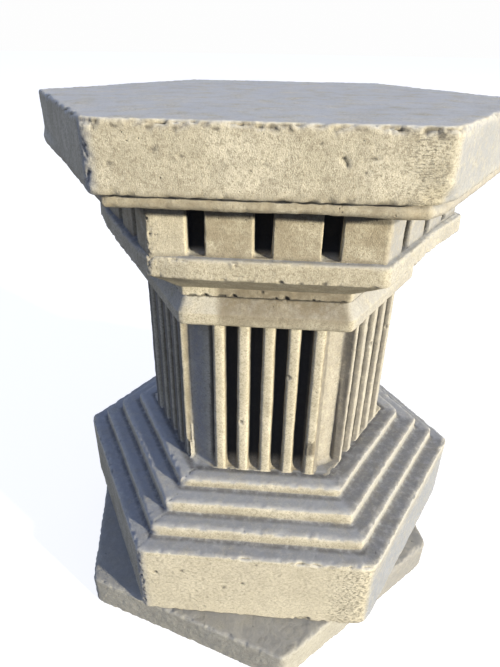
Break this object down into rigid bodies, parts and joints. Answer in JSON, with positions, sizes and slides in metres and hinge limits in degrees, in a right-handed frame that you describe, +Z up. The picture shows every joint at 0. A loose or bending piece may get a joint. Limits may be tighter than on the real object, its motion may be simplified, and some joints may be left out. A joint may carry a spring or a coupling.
{
  "type": "hexagonal pedestal",
  "caption": "Hexagonal cast-stone pedestal with a plain top slab, dentil band, fluted shaft and stepped base, on a loose hexagonal plinth slab.",
  "frame": {"origin": "on the pedestal's vertical axis, level with the underside of the plinth slab", "axes": "+Z up along the pedestal's axis; one flat face of the pedestal looks along -Y and two of its corners point along +X and -X"},
  "size_m": [0.53, 0.5067, 0.6033],
  "materials": {
    "pedestal_stone": "matt cream-grey cast stone, pitted and weathered",
    "plinth_stone": "matt grey-buff cast stone, rough and weathered"
  },
  "bodies": {
    "root": {"pedestal": "pedestal_stone", "plinth_slab": "plinth_stone"}
  },
  "joints": []
}
